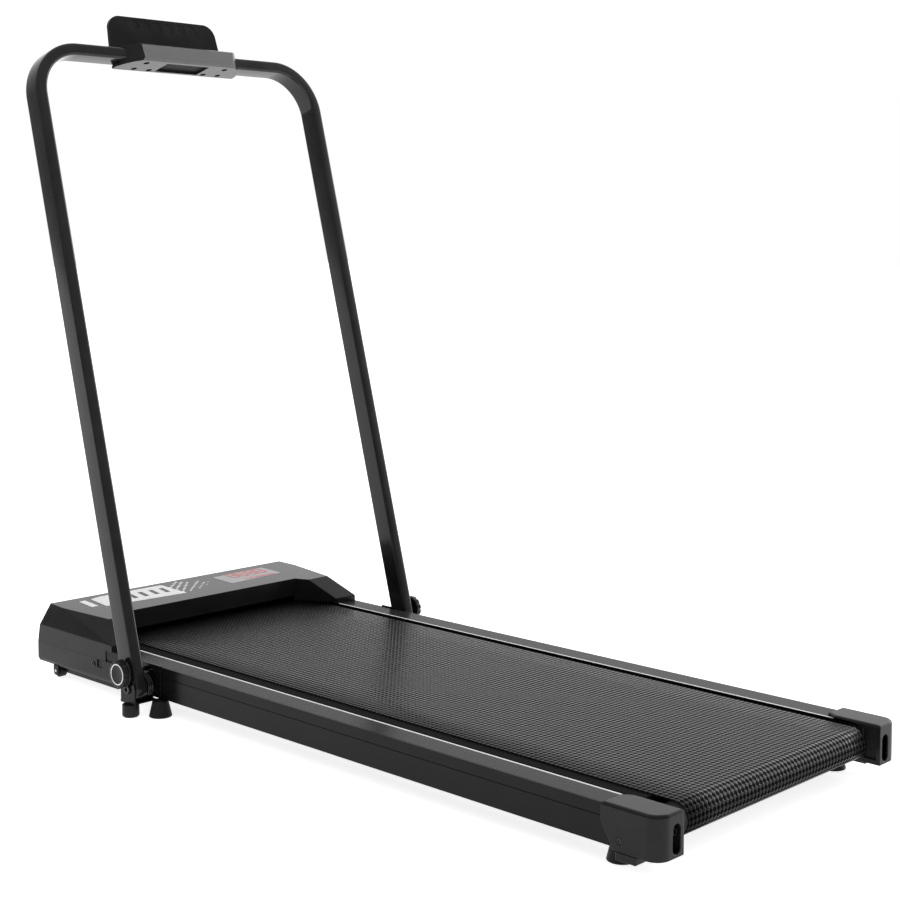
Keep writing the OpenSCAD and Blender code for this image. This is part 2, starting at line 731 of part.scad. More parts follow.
module post_bushes() color("silver") handle_frame() both() difference() {
  rod_x(post_in - 0.2, post_out + 0.2, 0, 0, 7);
  rod_x(post_in - 1, post_out + 1, 0, 0, bolt_r + 0.05);
}

knob_lobes = 12;

module knob() handle_frame() difference() {
  rod_x(knob_x, knob_end_x, 0, lock_s, knob_r);
  for (i = [0:knob_lobes - 1]) translate([0, 0, lock_s]) rotate([i * 360 / knob_lobes, 0, 0])
    rod_x(knob_x - 1, knob_end_x - 1.5, 0, knob_r + 1.2, 2.6);
  difference() {
    rod_x(knob_end_x - 0.5, knob_end_x + 1, 0, lock_s, knob_r * 0.8);
    rod_x(knob_end_x - 1, knob_end_x + 2, 0, lock_s, knob_r * 0.8 - 2.3);
  }
  rod_x(knob_x - 1, knob_x + 5, 0, lock_s, stud_r + 0.05);
}

module lock_screw() handle_frame() {
  rod_x(rail_x + 0.6, knob_x + 4.8, 0, lock_s, stud_r);
  rod_x(post_out + 0.3, collar_x, 0, lock_s, knob_boss_r);
  rod_x(collar_x, knob_x - 0.3, 0, lock_s, knob_r + 1.5);
}

module right_knob() color(black) knob();

module left_knob() color(black) mirror([1, 0, 0]) knob();

module right_lock_screw() color(steel) lock_screw();

module left_lock_screw() color(steel) mirror([1, 0, 0]) lock_screw();

// Console -------------------------------------------------------------------

clear = 0.2;

// Side view of the housing, in n and s
module housing_side() polygon([
  [-36.8, base_s], [-38.6, -12], [-37.6, 10.5], [-34, 13], [20.6, 18],
  [panel_n + panel_t, 18], [panel_n + panel_t, -8], [14, base_s]
]);

// Plan of the housing, in x and n
module housing_plan() polygon([
  [-112, panel_n + panel_t], [112, panel_n + panel_t], [127, 12], [125.5, 0], [118.5, -14], [108.5, -27],
  [97, -36.6], [housing_w / 2, -40], [-housing_w / 2, -40], [-97, -36.6], [-108.5, -27], [-118.5, -14],
  [-125.5, 0], [-127, 12]
]);

module bar_room() rotate([0, 90, 0]) translate([0, 0, -150])
  linear_extrude(300) rounded(tube_w + 2 * clear, tube_d + 2 * clear, tube_corner);

// The whole console body; its ends are hollowed round the grip bar
module housing_body(s0, s1) difference() {
  intersection() {
    along_x(-130, 130) housing_side();
    translate([0, 0, s0]) linear_extrude(s1 - s0) housing_plan();
  }
  bar_room();
  both() rod_y(-60, 60, 133, 1, 16);
}

split_s = -12;
screw_sink = 3.6;

module console_housing() color(soft_black) bar_frame() difference() {
  housing_body(split_s + 0.1, 30);
  box([-80, -30, split_s - 1], [80, -tube_d / 2 - 3, 4]);
  translate([-150, panel_n - 0.2, 11]) cube([300, 20, 30]);
}

module console_base() color([0.3, 0.3, 0.3]) bar_frame() difference() {
  housing_body(base_s - 1, split_s);
  translate([0, 0, base_s - 1]) linear_extrude(5.5) translate([1, -10.5]) square([88, 39], center = true);
  for (p = console_holes) translate([p[0], p[1], base_s - 1]) cylinder(h = 20, r = 1.8);
  for (p = console_holes) translate([p[0], p[1], base_s - 1]) cylinder(h = 1 + screw_sink, r = 5.2);
}

console_holes = [[-82, -24.5], [82, -24.5], [-88, 4.5], [88, 4.5], [-57, 5.5], [57, 5.5]];

module console_screws() color(steel) bar_frame() for (p = console_holes)
  translate([p[0], p[1], base_s + screw_sink - 1.5]) {
    cylinder(h = 1.5, r = 3.2);
    cylinder(h = 2.9, r = 1.7);
  }

// Outline of the key panel, in x and s, rounded at its top
module panel_outline(inset) {
  r = panel_r - inset;
  foot = panel_w / 2 - inset;
  cx = foot - panel_taper / 2 - r;
  cs = panel_s - inset - r;
  polygon(concat(
    [[-foot, panel_low + inset], [foot, panel_low + inset]],
    [for (a = [0:7.5:90]) [cx + r * cos(a), cs + r * sin(a)]],
    [for (a = [90:7.5:180]) [-cx + r * cos(a), cs + r * sin(a)]]
  ));
}

module key_panel() color(black) bar_frame() difference() {
  translate([0, panel_n + panel_t, 0]) rotate([90, 0, 0]) linear_extrude(panel_t) panel_outline(0);
  translate([0, panel_n + panel_t - 1.4, 0]) rotate([90, 0, 0]) linear_extrude(panel_t - 3.2)
    panel_outline(2.2);
  for (i = [0:n_keys - 1]) rod_y(panel_n - 1, panel_n + 3, key_x(i), key_s, key_d / 2 + 0.35);
}

function key_x(i) = (i - (n_keys - 1) / 2) * key_pitch;

module key_board() color([0.05, 0.25, 0.12]) bar_frame()
  box([-80, panel_n + 4.5 - 1, key_s - 12], [80, panel_n + 4.6, key_s + 8]);

module key(i) color(black) bar_frame()
  rod_y(panel_n + 0.3, panel_n + 0.3 + key_cap_t, key_x(i - 1), key_s, key_d / 2);

// Nodes ---------------------------------------------------------------------

side_rails();
rail_stripes();
crossmembers();
deck_board();
deck_cushions();
running_belt();
front_roller();
front_bearings();
front_axle();
rear_roller();
rear_bearings();
rear_axle();
roller_pulley();
motor_casing();
motor_rotor();
motor_pulley();
drive_belt();
motor_bracket();
control_board();
heatsink();
hood();
base_pan();
display_window();
display_board();
pan_screws();
power_inlet();
power_rocker();
reset_button();
end_caps();
end_cap_screws();
tension_bolts();
rear_feet();
cone_feet();
cylinder_feet();
wheel_brackets();
left_wheel();
right_wheel();
wheel_axles();
hinge_brackets();
pivot_bolts();
hinge_springs();
handle_tube();
post_bushes();
left_knob();
right_knob();
left_lock_screw();
right_lock_screw();
console_housing();
console_base();
console_screws();
key_panel();
key_board();
key(1);  // key_1
key(2);  // key_2
key(3);  // key_3
key(4);  // key_4
key(5);  // key_5
key(6);  // key_6
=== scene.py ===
"""Folding walking treadmill: looks, floor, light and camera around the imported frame.

Metres; +Y is the motor end and Z is up. "Left" is the -X side.
"""
import json
import math

import bmesh
import bpy
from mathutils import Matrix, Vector


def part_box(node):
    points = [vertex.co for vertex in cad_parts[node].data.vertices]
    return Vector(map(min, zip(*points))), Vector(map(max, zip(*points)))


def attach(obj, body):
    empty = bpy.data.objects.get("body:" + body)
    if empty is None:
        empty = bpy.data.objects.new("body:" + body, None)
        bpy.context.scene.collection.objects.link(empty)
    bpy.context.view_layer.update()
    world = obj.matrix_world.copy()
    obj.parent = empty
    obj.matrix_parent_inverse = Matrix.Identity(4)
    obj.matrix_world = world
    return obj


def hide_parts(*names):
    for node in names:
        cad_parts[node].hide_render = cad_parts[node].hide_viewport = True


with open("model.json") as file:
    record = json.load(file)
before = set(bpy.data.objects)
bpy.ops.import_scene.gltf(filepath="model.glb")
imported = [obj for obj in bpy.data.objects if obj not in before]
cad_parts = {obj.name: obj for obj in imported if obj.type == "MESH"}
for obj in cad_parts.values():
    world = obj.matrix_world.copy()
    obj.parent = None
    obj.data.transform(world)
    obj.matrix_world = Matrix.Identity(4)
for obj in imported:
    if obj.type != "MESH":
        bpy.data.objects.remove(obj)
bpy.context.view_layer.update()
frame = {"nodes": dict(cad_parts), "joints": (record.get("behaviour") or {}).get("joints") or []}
NODES = frame["nodes"]
MM = 0.001
TAU = 2 * math.pi


# ---------------------------------------------------------------- places
def joint_place(name):
    """The pivot of a joint, in the row frame."""
    for joint in frame["joints"]:
        if joint["name"] == name:
            return Vector(joint["pos_m"])


PIVOT = joint_place("handle_fold")
KNOB = joint_place("right_knob_turn")
LEAN = math.atan2(KNOB.y - PIVOT.y, KNOB.z - PIVOT.z)
UP = Vector((0, math.sin(LEAN), math.cos(LEAN)))
FORWARD = Vector((0, math.cos(LEAN), -math.sin(LEAN)))
ALONG_X = Vector((1, 0, 0))
ALONG_Z = Vector((0, 0, 1))

HALF_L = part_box("hood")[1].y
DECK_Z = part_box("running_belt")[1].z
RAIL_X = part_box("side_rails")[1].x
RAIL_W = 39.8 * MM

# Handle tube: middle of a post, middle of the grip bar above the pivot, section, radius of the top bends
POST_X = 288.2 * MM
HANDLE_S = 1022.6 * MM
BAR = PIVOT + UP * HANDLE_S
TUBE_W, TUBE_D = 20 * MM, 38 * MM
TUBE_CORNER = 5 * MM
BEND_R = 80 * MM

# Hood: its top rises by this slope up to the edge over its front face
HOOD_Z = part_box("hood")[1].z
HOOD_SLOPE = 0.0284
HOOD_FRONT_Y = HALF_L - 17 * MM

# Knob's light ring, as radii
RING_INNER, RING_OUTER = 14.5 * MM, 16.2 * MM


# ---------------------------------------------------------------- materials
# Scale of the slow patches in a surface, and how far its roughness strays to each side
PATCH_SCALE = 25.0
ROUGH_SPREAD = 0.06
# From one pad of the belt's texture to the next
PAD_PITCH = 7.75 * MM


def principled(name):
    """A new material with its node tree and its main shader."""
    material = bpy.data.materials.new(name)
    material.use_nodes = True
    tree = material.node_tree
    return material, tree, tree.nodes["Principled BSDF"]


def node(tree, kind, **inputs):
    """A shader node with its inputs set; where a value is a socket, the two are linked."""
    made = tree.nodes.new(kind)
    for key, value in inputs.items():
        socket = made.inputs[key]
        if isinstance(value, bpy.types.NodeSocket):
            tree.links.new(value, socket)
        else:
            socket.default_value = value
    return made


def ramp(tree, source, low, high, start=0.35, end=0.65):
    """A colour ramp between two colours."""
    made = tree.nodes.new("ShaderNodeValToRGB")
    made.color_ramp.elements[0].position = start
    made.color_ramp.elements[0].color = (*low, 1)
    made.color_ramp.elements[1].position = end
    made.color_ramp.elements[1].color = (*high, 1)
    tree.links.new(source, made.inputs[0])
    return made.outputs[0]


def span(tree, source, low, high):
    """A value from 0 to 1 brought into a range."""
    made = node(tree, "ShaderNodeMapRange", Value=source)
    made.inputs["To Min"].default_value = low
    made.inputs["To Max"].default_value = high
    return made.outputs[0]


def math_node(tree, operation, *values):
    """A sum, a product or another operation on numbers or sockets."""
    made = tree.nodes.new("ShaderNodeMath")
    made.operation = operation
    for socket, value in zip(made.inputs, values):
        if isinstance(value, bpy.types.NodeSocket):
            tree.links.new(value, socket)
        else:
            socket.default_value = value
    return made.outputs[0]


def surface(name, colour, rough, grain=1500.0, depth=0.00003, mottle=0.15, metallic=0.0, specular=0.5,
            stretch=(1, 1, 1)):
    """A moulded, painted or metal surface: fine grain in the bump, slow patches in colour and roughness.

    grain is the bump's scale and depth its height in metres; mottle is the patches' share of the colour.
    A colour given as one number is a grey.
    """
    if isinstance(colour, float):
        colour = (colour, colour, colour)
    material, tree, shader = principled(name)
    coord = tree.nodes.new("ShaderNodeTexCoord")
    place = node(tree, "ShaderNodeMapping", Vector=coord.outputs["Object"])
    place.inputs["Scale"].default_value = stretch
    slow = node(tree, "ShaderNodeTexNoise", Vector=coord.outputs["Object"], Scale=PATCH_SCALE, Detail=4.0)
    fine = node(tree, "ShaderNodeTexNoise", Vector=place.outputs[0], Scale=grain, Detail=3.0)
    low = [c * (1 - mottle) for c in colour]
    high = [min(1, c * (1 + mottle)) for c in colour]
    tree.links.new(ramp(tree, slow.outputs[0], low, high), shader.inputs["Base Color"])
    mixed = math_node(tree, "MULTIPLY", math_node(tree, "ADD", slow.outputs[0], fine.outputs[0]), 0.5)
    roughness = span(tree, mixed, rough - ROUGH_SPREAD, rough + ROUGH_SPREAD)
    tree.links.new(roughness, shader.inputs["Roughness"])
    bump = node(tree, "ShaderNodeBump", Height=fine.outputs[0], Strength=0.6, Distance=depth)
    tree.links.new(bump.outputs[0], shader.inputs["Normal"])
    shader.inputs["Metallic"].default_value = metallic
    shader.inputs["Specular IOR Level"].default_value = specular
    return material


def belt_material():
    """Belt rubber with a square waffle of small pads, laid out along the belt by its UV map in metres.

    The mesh's "level" is 1 where the belt lies flat and 0 where it turns round a roller; relief and
    sheen are weaker there, and the weaker sheen is painted shade on the turns. The gaps between the
    pads get a darker colour and less sheen than the pads: painted shade in the gaps.
    """
    material, tree, shader = principled("belt_rubber")
    uv = tree.nodes.new("ShaderNodeUVMap")
    parts = node(tree, "ShaderNodeSeparateXYZ", Vector=uv.outputs[0])
    waves = []
    for axis in (0, 1):
        turn = math_node(tree, "MULTIPLY", parts.outputs[axis], TAU / PAD_PITCH)
        waves.append(math_node(tree, "COSINE", turn))
    both = math_node(tree, "ADD", waves[0], waves[1])
    pads = tree.nodes.new("ShaderNodeMapRange")
    pads.interpolation_type = "SMOOTHSTEP"
    tree.links.new(both, pads.inputs["Value"])
    pads.inputs["From Min"].default_value = -0.9
    pads.inputs["From Max"].default_value = 1.1
    pads = pads.outputs[0]
    fine = node(tree, "ShaderNodeTexNoise", Vector=uv.outputs[0], Scale=900.0, Detail=4.0)
    slow = node(tree, "ShaderNodeTexNoise", Vector=uv.outputs[0], Scale=9.0, Detail=3.0)
    tint = node(tree, "ShaderNodeMix", Factor=0.25)
    tint.data_type = "FLOAT"
    tree.links.new(pads, tint.inputs[2])
    tree.links.new(slow.outputs[0], tint.inputs[3])
    # The gaps' darker colour is painted shade between the pads; the rubber itself is one colour.
    gap_shade_colour, pad_colour = (0.001, 0.001, 0.001), (0.014, 0.014, 0.0145)
    colour = ramp(tree, tint.outputs[0], gap_shade_colour, pad_colour, 0.25, 0.75)
    tree.links.new(colour, shader.inputs["Base Color"])
    tree.links.new(span(tree, pads, 0.6, 0.24), shader.inputs["Roughness"])
    height = math_node(tree, "ADD", pads, math_node(tree, "MULTIPLY", fine.outputs[0], 0.12))
    level = tree.nodes.new("ShaderNodeAttribute")
    level.attribute_name = "level"
    relief = span(tree, level.outputs["Fac"], 0.0004, 0.0007)
    bump = node(tree, "ShaderNodeBump", Height=height, Strength=1.0, Distance=relief)
    tree.links.new(bump.outputs[0], shader.inputs["Normal"])
    # Less sheen in the gaps and where the belt turns round a roller: painted shade.
    sheen = span(tree, level.outputs["Fac"], 0.12, 1.0)
    tree.links.new(math_node(tree, "MULTIPLY", span(tree, pads, 0.05, 0.36), sheen),
                   shader.inputs["Specular IOR Level"])
    return material


def wood_material():
    """Dark coated fibreboard with a faint long grain."""
    material, tree, shader = principled("coated_board")
    coord = tree.nodes.new("ShaderNodeTexCoord")
    place = node(tree, "ShaderNodeMapping", Vector=coord.outputs["Object"])
    place.inputs["Scale"].default_value = (60, 4, 60)
    grain = node(tree, "ShaderNodeTexNoise", Vector=place.outputs[0], Scale=3.0, Detail=6.0)
    colour = ramp(tree, grain.outputs[0], (0.0015, 0.0015, 0.0015), (0.003, 0.003, 0.003))
    tree.links.new(colour, shader.inputs["Base Color"])
    tree.links.new(span(tree, grain.outputs[0], 0.8, 0.95), shader.inputs["Roughness"])
    bump = node(tree, "ShaderNodeBump", Height=grain.outputs[0], Strength=0.3, Distance=0.0002)
    tree.links.new(bump.outputs[0], shader.inputs["Normal"])
    shader.inputs["Specular IOR Level"].default_value = 0.1
    return material


def board_material():
    """Green circuit board with brighter tracks."""
    material, tree, shader = principled("circuit_board")
    coord = tree.nodes.new("ShaderNodeTexCoord")
    cells = node(tree, "ShaderNodeTexVoronoi", Vector=coord.outputs["Object"], Scale=260.0)
    cells.distance = "MANHATTAN"
    colour = ramp(tree, cells.outputs[0], (0.01, 0.16, 0.05), (0.004, 0.07, 0.025), 0.2, 0.3)
    tree.links.new(colour, shader.inputs["Base Color"])
    tree.links.new(span(tree, cells.outputs[0], 0.25, 0.45), shader.inputs["Roughness"])
    return material


M = {
    "shell": surface("moulded_shell", 0.013, 0.18, grain=2200, depth=0.00002, specular=0.15),
    "console": surface("console_shell", 0.012, 0.17, grain=2400, depth=0.00001, specular=0.3),
    "face": surface("console_face", 0.14, 0.4, grain=2400, depth=0.00001, mottle=0.03, specular=0.3),
    "under": surface("console_underside", 0.11, 0.4, grain=2400, depth=0.00001, mottle=0.03, specular=0.2),
    # Painted shade: a matte copy of the black plastic, for the console's recess floors and the caps'
    # hollows.
    "painted_shade": surface("painted_shade_matte", 0.012, 0.6, grain=1500, depth=0.00002, specular=0.1),
    "trim": surface("fine_trim", 0.013, 0.25, grain=2600, depth=0.00003, specular=0.12),
    "rail": surface("rail_paint", 0.006, 0.22, grain=900, depth=0.00002, specular=0.12),
    "tube": surface("tube_paint", 0.016, 0.14, grain=700, depth=0.00002, specular=0.26),
    "plate": surface("bracket_paint", 0.004, 0.26, grain=800, depth=0.00003, specular=0.15),
    "rubber": surface("foot_rubber", 0.006, 0.5, grain=1300, depth=0.00006, specular=0.22),
    "bolt": surface("black_bolt", (0.02, 0.02, 0.021), 0.26, grain=1200, depth=0.00003, metallic=0.6),
    "spring": surface("spring_wire", 0.02, 0.22, grain=900, depth=0.00003, metallic=0.5),
    "steel": surface("ground_steel", (0.5, 0.5, 0.51), 0.3, grain=500, metallic=1.0, stretch=(0.1, 1, 1)),
    "alloy": surface("cast_alloy", (0.6, 0.6, 0.62), 0.4, grain=800, metallic=1.0),
    "white": surface("white_line", 0.82, 0.4, grain=900, depth=0.00002, mottle=0.03),
    "print": surface("white_print", 0.85, 0.45, grain=2500, depth=0.00001, mottle=0.03),
    "window": surface("display_window", (0.20, 0.20, 0.205), 0.10, grain=300, depth=0.00001, specular=0.6),
    "red": surface("red_digits", (0.80, 0.14, 0.14), 0.4, grain=900, depth=0.00001, mottle=0.05),
    "red_plastic": surface("red_plastic", (0.35, 0.02, 0.015), 0.3, grain=900, depth=0.00002),
    "belt": belt_material(),
    "wood": wood_material(),
    "board": board_material(),
}


# ---------------------------------------------------------------- mesh helpers
def finish_piece(name, bm, look, body, stands_for=(), smooth=32.0):
    """Turns a bmesh into a piece that rides on a body."""
    bmesh.ops.recalc_face_normals(bm, faces=bm.faces)
    mesh = bpy.data.meshes.new(name)
    bm.to_mesh(mesh)
    bm.free()
    for polygon in mesh.polygons:
        polygon.use_smooth = True
    mesh.set_sharp_from_angle(angle=math.radians(smooth))
    piece = bpy.data.objects.new(name, mesh)
    bpy.context.scene.collection.objects.link(piece)
    mesh.materials.append(M[look])
    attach(piece, body)
    if stands_for:
        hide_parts(*stands_for)


def apply_modifiers(piece):
    """Makes the piece's modifiers part of its mesh, and returns the new mesh."""
    deps = bpy.context.evaluated_depsgraph_get()
    mesh = bpy.data.meshes.new_from_object(piece.evaluated_get(deps))
    piece.modifiers.clear()
    piece.data = mesh
    return mesh


def soften(name, cad, look, body, width, segments=3, where=None, sharp=25.0, clamp=True):
    """A copy of a CAD node with its sharp edges rounded. where(a, b) gives an edge's share of the width."""
    same_place, flat_angle, shade_angle = 0.02 * MM, math.radians(1), math.radians(38)
    bm = bmesh.new()
    bm.from_mesh(NODES[cad].data)
    bmesh.ops.remove_doubles(bm, verts=bm.verts, dist=same_place)
    bmesh.ops.dissolve_limit(bm, angle_limit=flat_angle, verts=bm.verts, edges=bm.edges)
    weights = bm.edges.layers.float.new("bevel_weight_edge")
    for edge in bm.edges:
        if len(edge.link_faces) == 2 and edge.calc_face_angle(0) > math.radians(sharp):
            edge[weights] = where(edge.verts[0].co, edge.verts[1].co) if where else 1.0
    mesh = bpy.data.meshes.new(name)
    bm.to_mesh(mesh)
    bm.free()
    piece = bpy.data.objects.new(name, mesh)
    bpy.context.scene.collection.objects.link(piece)
    bevel = piece.modifiers.new("rounding", "BEVEL")
    bevel.limit_method = "WEIGHT"
    bevel.width = width
    bevel.segments = segments
    bevel.use_clamp_overlap = clamp
    rounded = apply_modifiers(piece)
    for polygon in rounded.polygons:
        polygon.use_smooth = True
    rounded.set_sharp_from_angle(angle=shade_angle)
    weighted = piece.modifiers.new("flat_faces", "WEIGHTED_NORMAL")
    weighted.keep_sharp = True
    rounded = apply_modifiers(piece)
    rounded.materials.clear()
    rounded.materials.append(M[look])
    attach(piece, body)
    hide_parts(cad)
    return piece


def add_box(bm, low, high):
    """A box between two corners."""
    xs, ys, zs = zip(low, high)
    corners = [bm.verts.new((x, y, z)) for x in xs for y in ys for z in zs]
    for face in ((0, 1, 3, 2), (4, 6, 7, 5), (0, 4, 5, 1), (2, 3, 7, 6), (0, 2, 6, 4), (1, 5, 7, 3)):
        bm.faces.new([corners[i] for i in face])


def axes_for(axis):
    """Two directions across an axis."""
    side = ALONG_Z if abs(axis.z) < 0.9 else ALONG_X
    first = axis.cross(side).normalized()
    return first, axis.cross(first).normalized()


def round_share(angle):
    """The radius' share of a round shape."""
    return 1.0


def hex_share(angle):
    """The radius' share of a hexagon whose corners touch the circle."""
    sixth = TAU / 6
    return math.cos(sixth / 2) / math.cos((angle % sixth) - sixth / 2)


def lathe(bm, origin, axis, profile, steps=48):
    """Turns a profile of (along, radius[, shape]) about an axis; shape scales the radius round the turn."""
    axis = Vector(axis).normalized()
    first, second = axes_for(axis)
    rings = []
    for point in profile:
        along, radius = point[0], point[1]
        shape = point[2] if len(point) > 2 else round_share
        centre = Vector(origin) + axis * along
        if radius <= 0:
            rings.append([bm.verts.new(centre)])
            continue
        ring = []
        for i in range(steps):
            angle = TAU * i / steps
            reach = radius * shape(angle)
            across = first * reach * math.cos(angle) + second * reach * math.sin(angle)
            ring.append(bm.verts.new(centre + across))
        rings.append(ring)
    for low, high in zip(rings, rings[1:]):
        for i in range(steps):
            j = (i + 1) % steps
            if len(low) == 1:
                bm.faces.new((low[0], high[i], high[j]))
            elif len(high) == 1:
                bm.faces.new((low[i], low[j], high[0]))
            else:
                bm.faces.new((low[i], low[j], high[j], high[i]))


def mirrored_profile(half):
    """Adds the mirrored other half to one half of a wheel's or disc's profile."""
    return half + [(-along, radius) for along, radius in reversed(half)]


def fillet(along, radius, r, outward, steps=4):
    """Profile points round an outer corner at (along, radius); outward is +1 or -1 along the axis."""
    points = []
    for i in range(steps + 1):
        angle = math.pi / 2 * i / steps
        back = outward * r * (1 - math.sin(angle))
        points.append((along - back, radius - r + r * math.cos(angle)))
    return points


def socket_screw(bm, face, axis, radius, height, socket, deep=None):
    """A round screw head with a hex socket. face is the centre of its outer face."""
    deep = deep or height * 0.7
    rim = min(0.3 * height, 0.12 * radius)
    mouth = 0.06 * radius
    profile = [(-height, 0), (-height, radius)] + fillet(0, radius, rim, 1)
    profile += [(0, socket * 1.12), (-mouth, socket, hex_share), (-deep, socket, hex_share)]
    profile += [(-deep * 1.1, 0)]
    lathe(bm, face, axis, profile, steps=36)


def sweep(bm, path, section):
    """Sweeps a closed section over a path of (centre, across, up) frames and closes both ends."""
    rings = [[bm.verts.new(c + a * s[0] + u * s[1]) for s in section] for c, a, u in path]
    count = len(section)
    for low, high in zip(rings, rings[1:]):
        for i in range(count):
            j = (i + 1) % count
            bm.faces.new((low[i], low[j], high[j], high[i]))
    bm.faces.new(list(reversed(rings[0])))
    bm.faces.new(rings[-1])


def rounded_section(width, depth, radius, steps):
    """A rectangle with rounded corners, each an arc of so many steps."""
    points = []
    for k, (sx, sy) in enumerate(((1, 1), (-1, 1), (-1, -1), (1, -1))):
        for i in range(steps + 1):
            angle = math.pi / 2 * (k + i / steps)
            points.append((sx * (width / 2 - radius) + radius * math.cos(angle),
                           sy * (depth / 2 - radius) + radius * math.sin(angle)))
    return points


def slab(bm, outline, base, across, up, thick):
    """A flat plate: an outline in (across, up) from base, thickened along their normal."""
    normal = across.cross(up).normalized()
    low = [bm.verts.new(base + across * a + up * b) for a, b in outline]
    high = [bm.verts.new(base + across * a + up * b + normal * thick) for a, b in outline]
    bm.faces.new(list(reversed(low)))
    bm.faces.new(high)
    for i in range(len(outline)):
        j = (i + 1) % len(outline)
        bm.faces.new((low[i], low[j], high[j], high[i]))


# ---------------------------------------------------------------- running belt
def belt_path(rear, front, centre_z, radius):
    """Stations once round the belt, from the front: (y, z, outward y, outward z, way along the belt)."""
    run_steps, turn_steps = 60, 20
    run, turn = front - rear, math.pi * radius
    path = []
    for i in range(run_steps):
        way = run * i / run_steps
        path.append((front - way, centre_z, 0.0, 1.0, way))
    for i in range(turn_steps):
        angle = math.pi * i / turn_steps
        path.append((rear, centre_z, -math.sin(angle), math.cos(angle), run + radius * angle))
    for i in range(run_steps):
        way = run * i / run_steps
        path.append((rear + way, centre_z, 0.0, -1.0, run + turn + way))
    for i in range(turn_steps + 1):
        angle = math.pi * i / turn_steps
        way = 2 * run + turn + radius * angle
        path.append((front, centre_z, math.sin(angle), -math.cos(angle), way))
    return path


def belt_section(left, right, radius):
    """The belt's section as (x, radius round the rollers), with small chamfers along its edges."""
    thick, lip = 2 * MM, 0.5 * MM
    across_steps = 8
    top_width = right - left - 2 * lip
    section = [(left + lip, radius), (left, radius - lip), (left, radius - thick)]
    section += [(right, radius - thick), (right, radius - lip), (right - lip, radius)]
    section += [(right - lip - top_width * k / across_steps, radius) for k in range(1, across_steps)]
    return section


def make_belt():
    """The running belt, with a UV map in metres for its pads and the level that its material reads."""
    low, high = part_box("running_belt")
    radius = (high.z - low.z) / 2
    section = belt_section(low.x, high.x, radius)
    outline = belt_path(low.y + radius, high.y - radius, (high.z + low.z) / 2, radius)
    bm = bmesh.new()
    layer = bm.loops.layers.uv.new("UVMap")
    level = bm.verts.layers.float.new("level")
    rings = []
    for y, z, ny, nz, _ in outline:
        ring = [bm.verts.new((x, y + ny * r, z + nz * r)) for x, r in section]
        for vert in ring:
            vert[level] = max(0.0, nz)
        rings.append(ring)
    count = len(section)
    for k in range(len(outline) - 1):
        for i in range(count):
            j = (i + 1) % count
            corners = ((k, i), (k, j), (k + 1, j), (k + 1, i))
            face = bm.faces.new([rings[a][b] for a, b in corners])
            for loop, (a, b) in zip(face.loops, corners):
                x, reach = section[b]
                loop[layer].uv = (x + radius - reach, outline[a][4])
    bmesh.ops.remove_doubles(bm, verts=bm.verts, dist=0.01 * MM)
    finish_piece("belt_surface", bm, "belt", "frame", ("running_belt",), smooth=50)


make_belt()


# ---------------------------------------------------------------- rails
def make_rails():
    """The rails, with fine cross ribs on their tops that run in under the hood."""
    soften("rail_bodies", "side_rails", "rail", "frame", 1.2 * MM, 3, sharp=40)
    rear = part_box("side_rails")[0].y
    under_hood = HALF_L - 150 * MM
    inlay_x = RAIL_X - RAIL_W + 4 * MM
    pitch, rise, sunk = 4 * MM, 0.45 * MM, -0.1 * MM
    base = DECK_Z - 0.2 * MM
    rows = []
    for i in range(int((under_hood - rear) / pitch)):
        y = rear + i * pitch
        rows += [(y, sunk), (y + 0.2 * pitch, rise), (y + 0.75 * pitch, rise), (y + 0.95 * pitch, sunk)]
    bm = bmesh.new()
    for side in (-1, 1):
        inner, outer = side * (inlay_x + 0.35 * MM), side * (RAIL_X - 1.6 * MM)
        edge = [[bm.verts.new((x, y, base + z)) for y, z in rows] for x in (inner, outer)]
        for i in range(len(rows) - 1):
            bm.faces.new((edge[0][i], edge[0][i + 1], edge[1][i + 1], edge[1][i]))
    finish_piece("rail_treads", bm, "rail", "frame", smooth=20)


make_rails()
soften("rail_lines", "rail_stripes", "white", "frame", 0.25 * MM, 2)


# ---------------------------------------------------------------- hood, pan and their trim
def hood_edges(a, b):
    """Wider rounding on the hood's visible upper edges, less round its openings."""
    if min(a.z, b.z) < DECK_Z + 4 * MM:
        return 0.25
    return 1.0


soften("hood_shell", "hood", "shell", "frame", 1.6 * MM, 3, hood_edges, sharp=9)
soften("pan_shell", "base_pan", "shell", "frame", 1.0 * MM, 2, sharp=30)
soften("window_plate", "display_window", "window", "frame", 0.5 * MM, 2)


# The plane of the hood's sloping top: its point over the frame's origin, and its direction to the front
TOP_ORIGIN = Vector((0, 0, HOOD_Z - HOOD_FRONT_Y * HOOD_SLOPE))
TOP_UP = Vector((0, 1, HOOD_SLOPE)).normalized()


def hood_print(name, outlines, look, lift, thick=0.15 * MM):
    """Thin printed shapes on the hood's top; each outline is a list of (x, y) in mm."""
    bm = bmesh.new()
    base = TOP_ORIGIN + ALONG_Z * lift
    for outline in outlines:
        slab(bm, [(x * MM, y * MM / TOP_UP.y) for x, y in outline], base, ALONG_X, TOP_UP, thick)
    finish_piece(name, bm, look, "frame")


def bar(x, y0, y1, width, slant):
    """A slanted bar that leans by slant towards the front."""
    return [(x, y0), (x + width, y0), (x + width + slant, y1), (x + slant, y1)]


